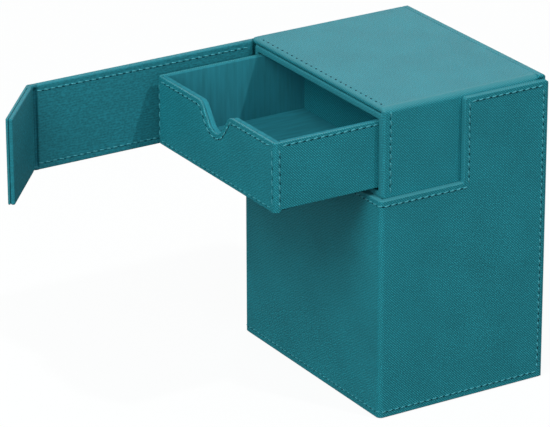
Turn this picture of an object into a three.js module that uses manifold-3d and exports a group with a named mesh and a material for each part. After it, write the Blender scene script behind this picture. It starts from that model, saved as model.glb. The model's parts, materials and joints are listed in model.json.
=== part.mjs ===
// Deck box with a drawer in its lid, covered in stitched leatherette.
// Millimetres, +Z up. The front, where the drawer slides out, faces -Y.
// The origin is the middle of the case's underside. The pose is drawer half out and flap open.
import * as THREE from "three";
import { mergeVertices } from "three/addons/utils/BufferGeometryUtils.js";
import Module from "manifold-3d";

const wasm = await Module();
wasm.setup();

// Case, with its rim below the lid
const caseWidth = 111;
const caseDepth = 84.5;
const rimHeight = 100;
const earBelowLidTop = 1.9;
const stepFromFront = 42.25;

// Covered boards of the case
const wallBoard = 2.55;
const wrapCornerRadius = 2.3;
const spineSkin = 1.2;
const baseBoard = 2.4;
const linerBoard = 1.8;
const linerFloorBoard = 1.2;

// Lid and the drawer's housing inside it
const flapRecess = 2.85;
const lidSideClearance = 0.3;
const lidRimClearance = 0.3;
const lidBackClearance = 0.4;
const lidTopBoard = 2.5;
const lidEdgeRadius = 2.4;
const lidSideBoard = 1.8;
const frameRecess = 0.4;
const housingSideBoard = 2.2;
const housingFloorBoard = 1.7;
const housingRoofBoard = 3.3;
const housingBackBoard = 2;

// Leather fold that the lid turns on
const hingeRollRadius = 1.1;
const hingeRollClearance = 0.3;

// Drawer
const drawerHeight = 31;
const drawerSideClearance = 0.3;
const drawerFloorClearance = 0.3;
const drawerRoofClearance = 0.9;
const drawerBackClearance = 0.5;
const drawerFrontBoard = 2;
const drawerFrontLining = 1.8;
const drawerSideBoard = 2.8;
const drawerBackBoard = 2.8;
const drawerFloorBoard = 1.8;
const drawerPad = 0.8;
const drawerOut = 50.2;

// Bell-shaped finger notch in the drawer's front
const notchHalfWidth = 14;
const notchDepth = 11;
const notchBowlRadius = 7;
const notchShoulderRadius = 4.6;

// Wrap-around flap: a long panel and a short tip, each of two covered layers
const flapOuterLayer = 1.1;
const flapLayerGap = 0.3;
const flapInnerLayer = 1.6;
const flapRimClearance = 0.3;
const flapReach = 107.4;
const tipReach = 41.2;
const tipRestAngle = 50;
const creaseHalfWidth = 1.5;
const creaseClearance = 0.3;
const anchorStepClearance = 0.5;

// Disc magnets that hold the tip to the lid's side
const magnetRadius = 5;
const magnetThickness = 0.9;
const magnetClearance = 0.1;
const magnetFromTipEnd = 9;
const magnetSpacing = 20;

// Roundness of the facets
const cornerSteps = 6;
const discSides = 24;
const cutOverrun = 1;

// Planes that the pieces share
const outerX = caseWidth / 2;
const wallInnerX = outerX - wallBoard;
const linerInnerX = wallInnerX - linerBoard;
const frontY = -caseDepth / 2;
const backY = caseDepth / 2;
const wallFrontInnerY = frontY + wallBoard;
const linerFrontInnerY = wallFrontInnerY + linerBoard;
const spineY = backY - spineSkin;
const wallBackInnerY = spineY - wallBoard;
const linerBackInnerY = wallBackInnerY - linerBoard;
const stepY = frontY + stepFromFront;
const lidX = wallInnerX - lidSideClearance;
const housingX = lidX - lidSideBoard;
const bayX = housingX - housingSideBoard;
const lidFrontY = frontY + flapRecess;
const housingFrontY = lidFrontY + frameRecess;
const housingBackY = wallBackInnerY - lidBackClearance;
const bayBackY = housingBackY - housingBackBoard;
const lidBottomZ = rimHeight + lidRimClearance;
const bayFloorZ = lidBottomZ + housingFloorBoard;
const drawerX = bayX - drawerSideClearance;
const drawerBottomZ = bayFloorZ + drawerFloorClearance;
const drawerTopZ = drawerBottomZ + drawerHeight;
const bayTopZ = drawerTopZ + drawerRoofClearance;
const lidTopUnderZ = bayTopZ + housingRoofBoard;
const caseHeight = lidTopUnderZ + lidTopBoard;
const earHeight = caseHeight - earBelowLidTop;
const drawerBackY = bayBackY - drawerBackClearance;
const hingeRollY = backY - hingeRollRadius;
const hingeRollZ = caseHeight - hingeRollRadius;
const hingeSweep = hingeRollRadius + hingeRollClearance;
const flapThickness = flapOuterLayer + flapLayerGap + flapInnerLayer;
const flapAxisX = -outerX + flapOuterLayer / 2;
const flapAxisY = frontY + flapOuterLayer / 2;
const flapBottomZ = rimHeight + flapRimClearance;

// Colours of the covers, as sRGB
const leatherColour = 0x216b78;
const leatherInsideColour = 0x24606c;
const microfibreColour = 0x23616d;
const magnetColour = 0x9a9da0;

function leather() {
  return new THREE.MeshStandardMaterial({ color: leatherColour, roughness: 0.62, metalness: 0 });
}

function flapLining() {
  return new THREE.MeshStandardMaterial({ color: leatherInsideColour, roughness: 0.7, metalness: 0 });
}

function microfibre() {
  return new THREE.MeshStandardMaterial({ color: microfibreColour, roughness: 0.95, metalness: 0 });
}

function nickel() {
  return new THREE.MeshStandardMaterial({ color: magnetColour, roughness: 0.35, metalness: 1 });
}

// A flat board, given by its lowest and highest corners.
function board(low, high) {
  const geometry = new THREE.BoxGeometry(1, 1, 1);
  const corners = geometry.getAttribute("position");
  for (let i = 0; i < corners.count; i++) {
    corners.setXYZ(
      i,
      corners.getX(i) < 0 ? low[0] : high[0],
      corners.getY(i) < 0 ? low[1] : high[1],
      corners.getZ(i) < 0 ? low[2] : high[2],
    );
  }
  return geometry;
}

// A shape drawn in the XY plane, extruded upwards from one height to another.
function prism(shape, lowZ, highZ) {
  const settings = { depth: highZ - lowZ, bevelEnabled: false, curveSegments: cornerSteps };
  return new THREE.ExtrudeGeometry(shape, settings).translate(0, 0, lowZ);
}

// A shape drawn in the XZ plane, extruded from one Y to a larger one.
function prismAlongY(shape, lowY, highY) {
  const settings = { depth: highY - lowY, bevelEnabled: false, curveSegments: cornerSteps };
  return new THREE.ExtrudeGeometry(shape, settings).rotateX(Math.PI / 2).translate(0, highY, 0);
}

// A disc whose axis lies along X, between two planes.
function disc(lowX, highX, centreY, centreZ, radius) {
  const geometry = new THREE.CylinderGeometry(radius, radius, highX - lowX, discSides);
  return geometry.rotateZ(Math.PI / 2).translate((lowX + highX) / 2, centreY, centreZ);
}

function toSolid(geometry) {
  const bare = geometry.clone();
  bare.deleteAttribute("normal");
  bare.deleteAttribute("uv");
  const merged = mergeVertices(bare);
  return new wasm.Manifold(
    new wasm.Mesh({
      numProp: 3,
      vertProperties: new Float32Array(merged.getAttribute("position").array),
      triVerts: new Uint32Array(merged.getIndex().array),
    }),
  );
}

function toGeometry(solid) {
  const mesh = solid.getMesh();
  const geometry = new THREE.BufferGeometry();
  geometry.setAttribute("position", new THREE.BufferAttribute(mesh.vertProperties, mesh.numProp));
  geometry.setIndex(new THREE.BufferAttribute(mesh.triVerts, 1));
  const faceted = geometry.toNonIndexed();
  faceted.computeVertexNormals();
  return faceted;
}

function cutFrom(geometry, ...cutters) {
  let solid = toSolid(geometry);
  for (const cutter of cutters) solid = solid.subtract(toSolid(cutter));
  return toGeometry(solid);
}

function commonTo(geometry, other) {
  return toGeometry(toSolid(geometry).intersect(toSolid(other)));
}

function addPiece(group, name, geometry, material) {
  const mesh = new THREE.Mesh(geometry, material);
  mesh.name = name;
  group.add(mesh);
}

// The outer wrap seen from above: front and both sides in one band, with rounded front corners.
function wrapOutline() {
  const radius = Math.min(wrapCornerRadius, wallBoard);
  const shape = new THREE.Shape();
  shape.moveTo(-outerX, spineY);
  shape.lineTo(-outerX, frontY + radius);
  shape.absarc(-outerX + radius, frontY + radius, radius, Math.PI, 1.5 * Math.PI, false);
  shape.lineTo(outerX - radius, frontY);
  shape.absarc(outerX - radius, frontY + radius, radius, 1.5 * Math.PI, 2 * Math.PI, false);
  shape.lineTo(outerX, spineY);
  shape.lineTo(wallInnerX, spineY);
  shape.lineTo(wallInnerX, wallFrontInnerY);
  shape.lineTo(-wallInnerX, wallFrontInnerY);
  shape.lineTo(-wallInnerX, spineY);
  shape.closePath();
  return shape;
}

// Front and side panels: low in front of the step, and raised to ears behind it.
function addWrapPanels(group) {
  const aboveRim = board(
    [-outerX - cutOverrun, frontY - cutOverrun, rimHeight],
    [outerX + cutOverrun, stepY, earHeight + cutOverrun],
  );
  const wrap = cutFrom(prism(wrapOutline(), 0, earHeight), aboveRim);
  const zone = (lowX, lowY, highX, highY) =>
    board([lowX, lowY, -cutOverrun], [highX, highY, earHeight + cutOverrun]);
  const farX = outerX + cutOverrun;
  const zones = {
    front_panel: zone(-farX, frontY - cutOverrun, farX, wallFrontInnerY),
    left_panel: zone(-farX, wallFrontInnerY, -wallInnerX, backY),
    right_panel: zone(wallInnerX, wallFrontInnerY, farX, backY),
  };
  for (const [name, part] of Object.entries(zones)) {
    addPiece(group, name, commonTo(wrap, part), leather());
  }
}

// The lined box of boards that the cards stand in.
function addLiner(group) {
  const lowZ = baseBoard;
  const floorZ = lowZ + linerFloorBoard;
  const parts = {
    liner_front: [[-wallInnerX, wallFrontInnerY, lowZ], [wallInnerX, linerFrontInnerY, rimHeight]],
    liner_back: [[-wallInnerX, linerBackInnerY, lowZ], [wallInnerX, wallBackInnerY, rimHeight]],
    liner_left: [[-wallInnerX, linerFrontInnerY, lowZ], [-linerInnerX, linerBackInnerY, rimHeight]],
    liner_right: [[linerInnerX, linerFrontInnerY, lowZ], [wallInnerX, linerBackInnerY, rimHeight]],
    liner_floor: [[-linerInnerX, linerFrontInnerY, lowZ], [linerInnerX, linerBackInnerY, floorZ]],
  };
  for (const [name, [low, high]] of Object.entries(parts)) {
    addPiece(group, name, board(low, high), microfibre());
  }
}

// The roll of leather along the top rear edge, where the spine's cover runs on over the lid.
function hingeRoll() {
  const roll = new THREE.CylinderGeometry(hingeRollRadius, hingeRollRadius, 2 * lidX, discSides);
  return roll.rotateZ(Math.PI / 2).translate(0, hingeRollY, hingeRollZ);
}

function makeCase() {
  const group = new THREE.Group();
  addWrapPanels(group);
  addPiece(
    group,
    "base_panel",
    board([-wallInnerX, wallFrontInnerY, 0], [wallInnerX, spineY, baseBoard]),
    leather(),
  );
  addPiece(
    group,
    "back_panel",
    board([-wallInnerX, wallBackInnerY, baseBoard], [wallInnerX, spineY, lidTopUnderZ - lidRimClearance]),
    leather(),
  );
  addPiece(
    group,
    "spine_cover",
    board([-outerX, spineY, 0], [outerX, backY, hingeRollZ - hingeSweep]),
    leather(),
  );
  addPiece(group, "lid_hinge_strip", hingeRoll(), leather());
  addLiner(group);
  return group;
}

// The lid's top cover seen from the front, rounding over both sides.
function lidTopOutline() {
  const radius = Math.min(lidEdgeRadius, lidTopBoard);
  const shape = new THREE.Shape();
  shape.moveTo(-lidX, lidTopUnderZ);
  shape.lineTo(lidX, lidTopUnderZ);
  shape.lineTo(lidX, caseHeight - radius);
  shape.absarc(lidX - radius, caseHeight - radius, radius, 0, Math.PI / 2, false);
  shape.lineTo(-lidX + radius, caseHeight);
  shape.absarc(-lidX + radius, caseHeight - radius, radius, Math.PI / 2, Math.PI, false);
  shape.closePath();
  return shape;
}

function magnetHeights() {
  const middle = (flapBottomZ + earHeight) / 2;
  return { upper: middle + magnetSpacing / 2, lower: middle - magnetSpacing / 2 };
}

// The lid's magnets sit where the shut tip's magnets come to lie.
function lidMagnetY() {
  return flapAxisY + tipReach - magnetFromTipEnd;
}

function addLidSides(group) {
  const left = board([-lidX, lidFrontY, lidBottomZ], [-housingX, housingBackY, lidTopUnderZ]);
  addPiece(group, "lid_left_side", left, leather());
  const pockets = [];
  for (const [level, height] of Object.entries(magnetHeights())) {
    const pocketRadius = magnetRadius + magnetClearance;
    const pocketX = housingX + magnetThickness + magnetClearance;
    pockets.push(disc(housingX - cutOverrun, pocketX, lidMagnetY(), height, pocketRadius));
    const magnet = disc(housingX, housingX + magnetThickness, lidMagnetY(), height, magnetRadius);
    addPiece(group, `lid_magnet_${level}`, magnet, nickel());
  }
  const right = board([housingX, lidFrontY, lidBottomZ], [lidX, housingBackY, lidTopUnderZ]);
  addPiece(group, "lid_right_side", cutFrom(right, ...pockets), leather());
}

// The sleeve that the drawer runs in; its front edges make the inner frame of the opening.
function addHousing(group) {
  const parts = {
    housing_floor: [[-housingX, housingFrontY, lidBottomZ], [housingX, housingBackY, bayFloorZ]],
    housing_roof: [[-housingX, housingFrontY, bayTopZ], [housingX, housingBackY, lidTopUnderZ]],
    housing_left: [[-housingX, housingFrontY, bayFloorZ], [-bayX, housingBackY, bayTopZ]],
    housing_right: [[bayX, housingFrontY, bayFloorZ], [housingX, housingBackY, bayTopZ]],
    housing_back: [[-bayX, bayBackY, bayFloorZ], [bayX, housingBackY, bayTopZ]],
  };
  for (const [name, [low, high]] of Object.entries(parts)) {
    addPiece(group, name, board(low, high), leather());
  }
}

// The flap's fixed root, glued to the lid's left side between the front and the step.
function addFlapRoot(group) {
  const rootFrontY = flapAxisY + creaseHalfWidth;
  addPiece(
    group,
    "flap_root",
    board([-outerX, rootFrontY, flapBottomZ], [-lidX, stepY - anchorStepClearance, earHeight]),
    leather(),
  );
  addPiece(
    group,
    "flap_hinge_strip",
    board(
      [-outerX, flapAxisY - creaseHalfWidth + creaseClearance, flapBottomZ],
      [-outerX + flapOuterLayer, rootFrontY, earHeight],
    ),
    leather(),
  );
}

function makeLid() {
  const group = new THREE.Group();
  const lidTopBackY = hingeRollY - hingeSweep;
  addPiece(group, "lid_top", prismAlongY(lidTopOutline(), lidFrontY, lidTopBackY), leather());
  addLidSides(group);
  addHousing(group);
  addFlapRoot(group);
  return group;
}

// The front boards' outline from the front, with the notch's shoulders and bowl as arcs.
function drawerFrontOutline() {
  const bowlZ = drawerTopZ - notchDepth + notchBowlRadius;
  const shoulderX = notchHalfWidth;
  const shoulderZ = drawerTopZ - notchShoulderRadius;
  const apart = Math.hypot(shoulderX, shoulderZ - bowlZ);
  const toShoulder = Math.atan2(shoulderZ - bowlZ, shoulderX);
  const lean = Math.acos((notchBowlRadius + notchShoulderRadius) / apart);
  const tangentAngle = toShoulder - lean;
  const shape = new THREE.Shape();
  shape.moveTo(-drawerX, drawerBottomZ);
  shape.lineTo(drawerX, drawerBottomZ);
  shape.lineTo(drawerX, drawerTopZ);
  shape.lineTo(shoulderX, drawerTopZ);
  shape.absarc(shoulderX, shoulderZ, notchShoulderRadius, Math.PI / 2, Math.PI + tangentAngle, false);
  shape.absarc(0, bowlZ, notchBowlRadius, tangentAngle, -Math.PI - tangentAngle, true);
  shape.absarc(-shoulderX, shoulderZ, notchShoulderRadius, -tangentAngle, Math.PI / 2, false);
  shape.lineTo(-drawerX, drawerTopZ);
  shape.closePath();
  return shape;
}

// The drawer is drawn shut, and its group slides it out.
function makeDrawer() {
  const group = new THREE.Group();
  const liningY = lidFrontY + drawerFrontBoard;
  const insideFrontY = liningY + drawerFrontLining;
  const insideBackY = drawerBackY - drawerBackBoard;
  const insideX = drawerX - drawerSideBoard;
  const floorTopZ = drawerBottomZ + drawerFloorBoard;
  const front = prismAlongY(drawerFrontOutline(), lidFrontY, liningY);
  addPiece(group, "drawer_front", front, leather());
  const lining = prismAlongY(drawerFrontOutline(), liningY, insideFrontY);
  addPiece(group, "drawer_front_lining", lining, microfibre());
  const parts = {
    drawer_left_side: [[-drawerX, insideFrontY, drawerBottomZ], [-insideX, drawerBackY, drawerTopZ]],
    drawer_right_side: [[insideX, insideFrontY, drawerBottomZ], [drawerX, drawerBackY, drawerTopZ]],
    drawer_back: [[-insideX, insideBackY, drawerBottomZ], [insideX, drawerBackY, drawerTopZ]],
    drawer_floor: [[-insideX, insideFrontY, drawerBottomZ], [insideX, insideBackY, floorTopZ]],
  };
  for (const [name, [low, high]] of Object.entries(parts)) {
    addPiece(group, name, board(low, high), leather());
  }
  const pad = board([-insideX, insideFrontY, floorTopZ], [insideX, insideBackY, floorTopZ + drawerPad]);
  addPiece(group, "drawer_pad", pad, microfibre());
  group.position.y = -drawerOut;
  return group;
}

// Planes of a flap panel's two layers, measured in from the hinge axis.
const layerOuterX = -flapOuterLayer / 2;
const layerGapX = flapOuterLayer / 2;
const layerInnerX = layerGapX + flapLayerGap;
const layerInsideX = layerOuterX + flapThickness;

// The inner layers stop short of a crease by their own depth, so that it folds square.
const innerSetback = layerInsideX + creaseClearance;

// The short tip, drawn along -Y from its own hinge axis, with pockets for its magnets.
function makeTip() {
  const group = new THREE.Group();
  const startY = -creaseHalfWidth;
  const outer = board([layerOuterX, -tipReach, flapBottomZ], [layerGapX, startY, earHeight]);
  addPiece(group, "tip_outer", outer, leather());
  const pockets = [];
  const magnetY = -tipReach + magnetFromTipEnd;
  for (const [level, height] of Object.entries(magnetHeights())) {
    const pocketX = layerInnerX + magnetThickness + magnetClearance;
    const pocketRadius = magnetRadius + magnetClearance;
    pockets.push(disc(layerInnerX - cutOverrun, pocketX, magnetY, height, pocketRadius));
    const magnet = disc(layerInnerX, layerInnerX + magnetThickness, magnetY, height, magnetRadius);
    addPiece(group, `tip_magnet_${level}`, magnet, nickel());
  }
  const inner = board([layerInnerX, -tipReach, flapBottomZ], [layerInsideX, -innerSetback, earHeight]);
  addPiece(group, "tip_inner", cutFrom(inner, ...pockets), flapLining());
  group.position.y = -flapReach;
  group.rotation.z = THREE.MathUtils.degToRad(tipRestAngle);
  return group;
}

// The flap swings about the crease at the lid's front left corner, and carries the tip.
function makeFlap() {
  const group = new THREE.Group();
  const startY = -creaseHalfWidth;
  const endY = -flapReach + creaseHalfWidth;
  const outer = board([layerOuterX, endY, flapBottomZ], [layerGapX, startY, earHeight]);
  addPiece(group, "flap_outer", outer, leather());
  const inner = board(
    [layerInnerX, -flapReach + innerSetback, flapBottomZ],
    [layerInsideX, -innerSetback, earHeight],
  );
  addPiece(group, "flap_inner", inner, flapLining());
  const strip = board(
    [layerOuterX, -flapReach - creaseHalfWidth + creaseClearance, flapBottomZ],
    [layerGapX, endY, earHeight],
  );
  addPiece(group, "tip_hinge_strip", strip, leather());
  group.add(makeTip());
  group.position.set(flapAxisX, flapAxisY, 0);
  return group;
}

const deckBox = new THREE.Group();
deckBox.add(makeCase());
deckBox.add(makeLid());
deckBox.add(makeDrawer());
deckBox.add(makeFlap());
export default deckBox;
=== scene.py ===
"""Deck box with a drawer in its lid: leatherette covers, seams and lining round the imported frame."""
import json
import math
import random

import bmesh
import bpy
from mathutils import Matrix, Vector


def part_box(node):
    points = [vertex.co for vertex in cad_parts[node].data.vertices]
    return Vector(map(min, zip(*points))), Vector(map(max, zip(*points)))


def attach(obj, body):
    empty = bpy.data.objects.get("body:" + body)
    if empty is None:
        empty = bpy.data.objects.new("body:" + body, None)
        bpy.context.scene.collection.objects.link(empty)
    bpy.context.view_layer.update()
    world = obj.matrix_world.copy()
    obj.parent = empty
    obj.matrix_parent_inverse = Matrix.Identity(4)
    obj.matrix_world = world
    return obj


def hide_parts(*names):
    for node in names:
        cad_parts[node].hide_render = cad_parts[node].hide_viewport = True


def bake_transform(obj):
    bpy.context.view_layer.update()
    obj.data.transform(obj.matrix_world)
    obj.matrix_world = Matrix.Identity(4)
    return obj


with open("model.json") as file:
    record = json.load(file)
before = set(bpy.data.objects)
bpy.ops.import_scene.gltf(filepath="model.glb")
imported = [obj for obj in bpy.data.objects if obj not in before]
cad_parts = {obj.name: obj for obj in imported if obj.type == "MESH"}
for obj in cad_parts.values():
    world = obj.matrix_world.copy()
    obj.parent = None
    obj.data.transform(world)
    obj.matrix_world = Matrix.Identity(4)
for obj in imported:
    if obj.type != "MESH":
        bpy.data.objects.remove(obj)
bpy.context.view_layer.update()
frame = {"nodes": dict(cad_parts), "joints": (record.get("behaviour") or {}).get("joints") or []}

MM = 0.001
SEED = 11
draw = random.Random(SEED)


def low(node):
    """Lowest corner of a CAD node, in millimetres."""
    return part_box(node)[0] / MM


def high(node):
    """Highest corner of a CAD node, in millimetres."""
    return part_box(node)[1] / MM


# How far the flap's covers reach past its board, the gap at the step, and the gap between covers
FLAP_DOWN = 0.45
FLAP_UP = 0.15
STEP_GAP = 0.15
CLEAR = 0.02

# Places read from the frame, in millimetres
OUTER_X = high("front_panel").x
FRONT_Y = low("front_panel").y
BACK_Y = high("spine_cover").y
RIM_Z = high("front_panel").z
EAR_Z = high("right_panel").z
STEP_Y = high("flap_root").y + STEP_GAP
LINER_X = high("liner_floor").x
LINER_FRONT_Y = low("liner_floor").y
LINER_BACK_Y = high("liner_floor").y
WALL_BACK_Y = high("liner_back").y
BASE_Z = high("base_panel").z
LID_X = high("lid_top").x
LID_FRONT_Y = low("lid_top").y
LID_BACK_Y = high("lid_top").y
LID_SIDE_BACK_Y = high("lid_left_side").y
LID_BOTTOM_Z = low("lid_left_side").z
TOP_Z = high("lid_top").z
BAY_X = low("housing_right").x
BAY_FLOOR_Z = high("housing_floor").z
BAY_TOP_Z = low("housing_roof").z
SLEEVE_BACK_Y = high("housing_right").y
SPINE_TOP_Z = high("spine_cover").z
DRAWER_X = high("drawer_front").x
DRAWER_FRONT_Y = low("drawer_front").y
DRAWER_INSIDE_Y = high("drawer_front_lining").y
DRAWER_INSIDE_X = low("drawer_right_side").x
DRAWER_BACK_Y = high("drawer_back").y
DRAWER_LOW_Z = low("drawer_front").z
DRAWER_TOP_Z = high("drawer_front").z
DRAWER_PAD_LOW_Z = low("drawer_pad").z
DRAWER_PAD_TOP_Z = high("drawer_pad").z
FLAP_LOW_Z = low("flap_outer").z - FLAP_DOWN
FLAP_TOP_Z = high("flap_outer").z + FLAP_UP
JOINTS = {joint["name"]: joint for joint in frame["joints"]}
FLAP_AXIS = Vector(JOINTS["flap_swing"]["pos_m"]) / MM
TIP_AXIS = Vector(JOINTS["tip_fold"]["pos_m"]) / MM

# Mesh making. A point deeper than AT_EDGE under both faces is on the edge
EDGE_ROUND = 0.45
AT_EDGE = 0.05
MITRE_LIMIT = 0.3
STEEP = 0.6
FLAT_AREA = 1e-4
CUT_REACH = 1e-5
MERGE_REACH = 1e-7
TINY = 1e-9

# Leather sizes in millimetres. Where a size differs by side, 1 is the right side and -1 the left
WRAP_THICK = 2.75
WRAP_RADIUS = 2.4
SPINE_SKIN = 0.55
SKIN_GAP = 0.03
LINER_DROP = 1.7
LID_THICK = 2.1
LID_RADII = {1: 2.7, -1: 0.7}
LID_SIDE_ROW = 38.5
LID_ROUND = 1.15
LID_TUCK = 1.3
LID_SETBACK = 4
LID_SIDE_IN = 0.35
LID_SIDE_SHORT = 0.7
LID_CORNER_OUT = 1.5
HINGE_RADII = {1: 0.9, -1: 0.7}
HINGE_HALVES = {1: LID_X + 0.4, -1: LID_X}
HINGE_LIP = 0.8
HINGE_THICK = 1.0
HINGE_BEND = 1.3
HINGE_DROP = 0.9
HINGE_SINK = 0.35
SLEEVE_GAP = 0.65
FRAME_TUCK = 1.1
FRAME_IN = 0.95
FRAME_DEPTH = 3
DRAWER_WRAP_THICK = 1.3
DRAWER_RADIUS = 2.0
LINING_DROP = 0.3
SIDE_LIFT = 1.2
POST_DEPTH = 2.7
POST_RAMP = 0.6
TIP_ANGLE = math.radians(50)
TIP_REACH = 40.6
FLAP_OUTER_THICK = 1.1
FLAP_INNER_LOW = 0.72
FLAP_INNER_HIGH = 2.45
CREASE_HALF = 1.5
CREASE_INNER = 2.75
CREASE_LINING_LOW = 0.56
GROOVE_START = 3.4
OVERLAP = 0.7
ROOT_CUT = 4.2

# Seams
CASE_PITCH = 3.27
LID_PITCH = 3.9
DRAWER_PITCH = 3.75
DRAWER_EDGE_PITCH = 4.35
FLAP_PITCH = 3.24
STITCH_SHARE = 0.7
STITCH_WIDTH = 0.66
STITCH_RISE = 0.26
STITCH_SLANT = math.radians(9)
SUNK_DEPTH = 0.42
SLIM_SHARE = 0.86
FINE_SHARE = 0.7
FINE_SINK = 0.5
SIDE_PRESS = 0.19
LENGTH_SPREAD = 0.05
TURN_SPREAD = 0.04
STRAND_SIDES = 6
STRAND_HEIGHT = 0.36
UPRIGHT_LIMIT = 0.3
# Needle holes, drawn as dark marks that also paint the thread's shadow
HOLE_SHARE = 0.46
HOLE_WIDTH = 0.72
HOLE_SHADOW_DROP = 0.3
SUNK_HOLE_LONG = 1.15
SUNK_HOLE_WIDE = 1.0


def fillet(points, radius, steps=4):
    """The polygon with each corner replaced by an arc of the given radius, or by its own radius."""
    made = []
    count = len(points)
    for i, point in enumerate(points):
        here = Vector(point[:2])
        size = point[2] if len(point) > 2 else radius
        before = Vector(points[i - 1][:2]) - here
        after = Vector(points[(i + 1) % count][:2]) - here
        if size <= 0:
            made.append(here)
            continue
        before.normalize()
        after.normalize()
        half = math.acos(max(-1, min(1, before.dot(after)))) / 2
        reach = size / math.tan(half)
        centre = here + (before + after).normalized() * (size / math.sin(half))
        start = here + before * reach - centre
        end = here + after * reach - centre
        turn = start.angle_signed(end)
        for k in range(steps + 1):
            angle = -turn * k / steps
            spun = Vector((
                start.x * math.cos(angle) - start.y * math.sin(angle),
                start.x * math.sin(angle) + start.y * math.cos(angle),
            ))
            made.append(centre + spun)
    return made


def inset(loop, distance):
    """The closed loop moved towards its left by a distance, corners kept mitred."""
    made = []
    count = len(loop)
    for i, here in enumerate(loop):
        back = (here - loop[i - 1]).normalized()
        ahead = (loop[(i + 1) % count] - here).normalized()
        left_a = Vector((-back.y, back.x))
        left_b = Vector((-ahead.y, ahead.x))
        middle = (left_a + left_b).normalized()
        made.append(here + middle * (distance / max(MITRE_LIMIT, middle.dot(left_a))))
    return made


def is_counterclockwise(loop):
    area = sum(a.cross(b) for a, b in zip(loop, loop[1:] + loop[:1]))
    return area > 0


def slab(name, outline, thick, place, holes=(), cuts=(), round_edge=EDGE_ROUND, steps=3, back_round=None,
         turned_grain=False, edge_highlight=None):
    """A board with rounded edges. It is drawn flat: outline in u and v, and depth 0 to -thick.
    cuts are the u values where it may bend, and place turns u, v, depth into x, y, z in millimetres.
    The last argument gives a painted highlight: how pale the leather is at a point, on an edge or off it."""
    back_round = round_edge if back_round is None else back_round
    bm = bmesh.new()
    loops = []
    for loop, is_hole in [(outline, False)] + [(h, True) for h in holes]:
        if is_counterclockwise(loop) == is_hole:
            loop = list(reversed(loop))
        loops.append(loop)
    profile = []
    for k in range(steps + 1):
        angle = math.pi / 2 * k / steps
        profile.append((round_edge * (1 - math.sin(angle)), -round_edge * (1 - math.cos(angle))))
    for k in range(steps + 1):
        angle = math.pi / 2 * (1 - k / steps)
        profile.append((back_round * (1 - math.sin(angle)), -thick + back_round * (1 - math.cos(angle))))
    if round_edge <= 0:
        profile = [(0, 0)] + profile[steps + 1:]
    if back_round <= 0:
        profile = [p for p in profile if p[1] > -thick] + [(0, -thick)]
    caps = [[], []]
    for loop in loops:
        rings = []
        for distance, depth in profile:
            rings.append([bm.verts.new((p.x, p.y, depth)) for p in inset(loop, distance)])
        for ring, following in zip(rings, rings[1:]):
            for i in range(len(ring)):
                j = (i + 1) % len(ring)
                bm.faces.new((ring[i], following[i], following[j], ring[j]))
        for cap, ring in zip(caps, (rings[0], rings[-1])):
            cap.extend((ring[i], ring[(i + 1) % len(ring)]) for i in range(len(ring)))
    for cap in caps:
        edges = [bm.edges.get(pair) for pair in cap]
        if len(loops) == 1:
            bm.faces.new([pair[0] for pair in cap])
        else:
            bmesh.ops.triangle_fill(bm, use_beauty=True, edges=edges)
    bmesh.ops.recalc_face_normals(bm, faces=bm.faces)
    for cut in cuts:
        everything = bm.verts[:] + bm.edges[:] + bm.faces[:]
        cut_at = (cut, 0, 0)
        bmesh.ops.bisect_plane(bm, geom=everything, plane_co=cut_at, plane_no=(1, 0, 0), dist=CUT_REACH)
    bm.normal_update()
    grain = bm.loops.layers.uv.new("grain")
    for face in bm.faces:
        normal = face.normal
        for loop in face.loops:
            u, v, depth = loop.vert.co
            if abs(normal.z) <= STEEP:
                if abs(normal.x) > abs(normal.y):
                    u += depth
                else:
                    v += depth
            loop[grain].uv = (v, -u) if turned_grain else (u, v)
    # The edge layer holds the painted highlight on rounded edges
    edge_layer = bm.verts.layers.float.new("edge")
    for vert in bm.verts:
        at_edge = min(-vert.co.z, vert.co.z + thick) > AT_EDGE
        vert[edge_layer] = edge_highlight(vert.co, at_edge) if edge_highlight else float(at_edge)
    for vert in bm.verts:
        vert.co = Vector(place(*vert.co)) * MM
    bmesh.ops.remove_doubles(bm, verts=bm.verts, dist=MERGE_REACH)
    return finish_mesh(name, bm)


def add_object(name, data):
    piece = bpy.data.objects.new(name, data)
    bpy.context.scene.collection.objects.link(piece)
    return piece


def finish_mesh(name, bm, smooth=True):
    bmesh.ops.recalc_face_normals(bm, faces=bm.faces)
    mesh = bpy.data.meshes.new(name)
    bm.to_mesh(mesh)
    bm.free()
    piece = add_object(name, mesh)
    if smooth:
        mesh.polygons.foreach_set("use_smooth", [face.area < FLAT_AREA for face in mesh.polygons])
        weighted = piece.modifiers.new("even_normals", "WEIGHTED_NORMAL")
        weighted.weight = 100
    return piece


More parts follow.
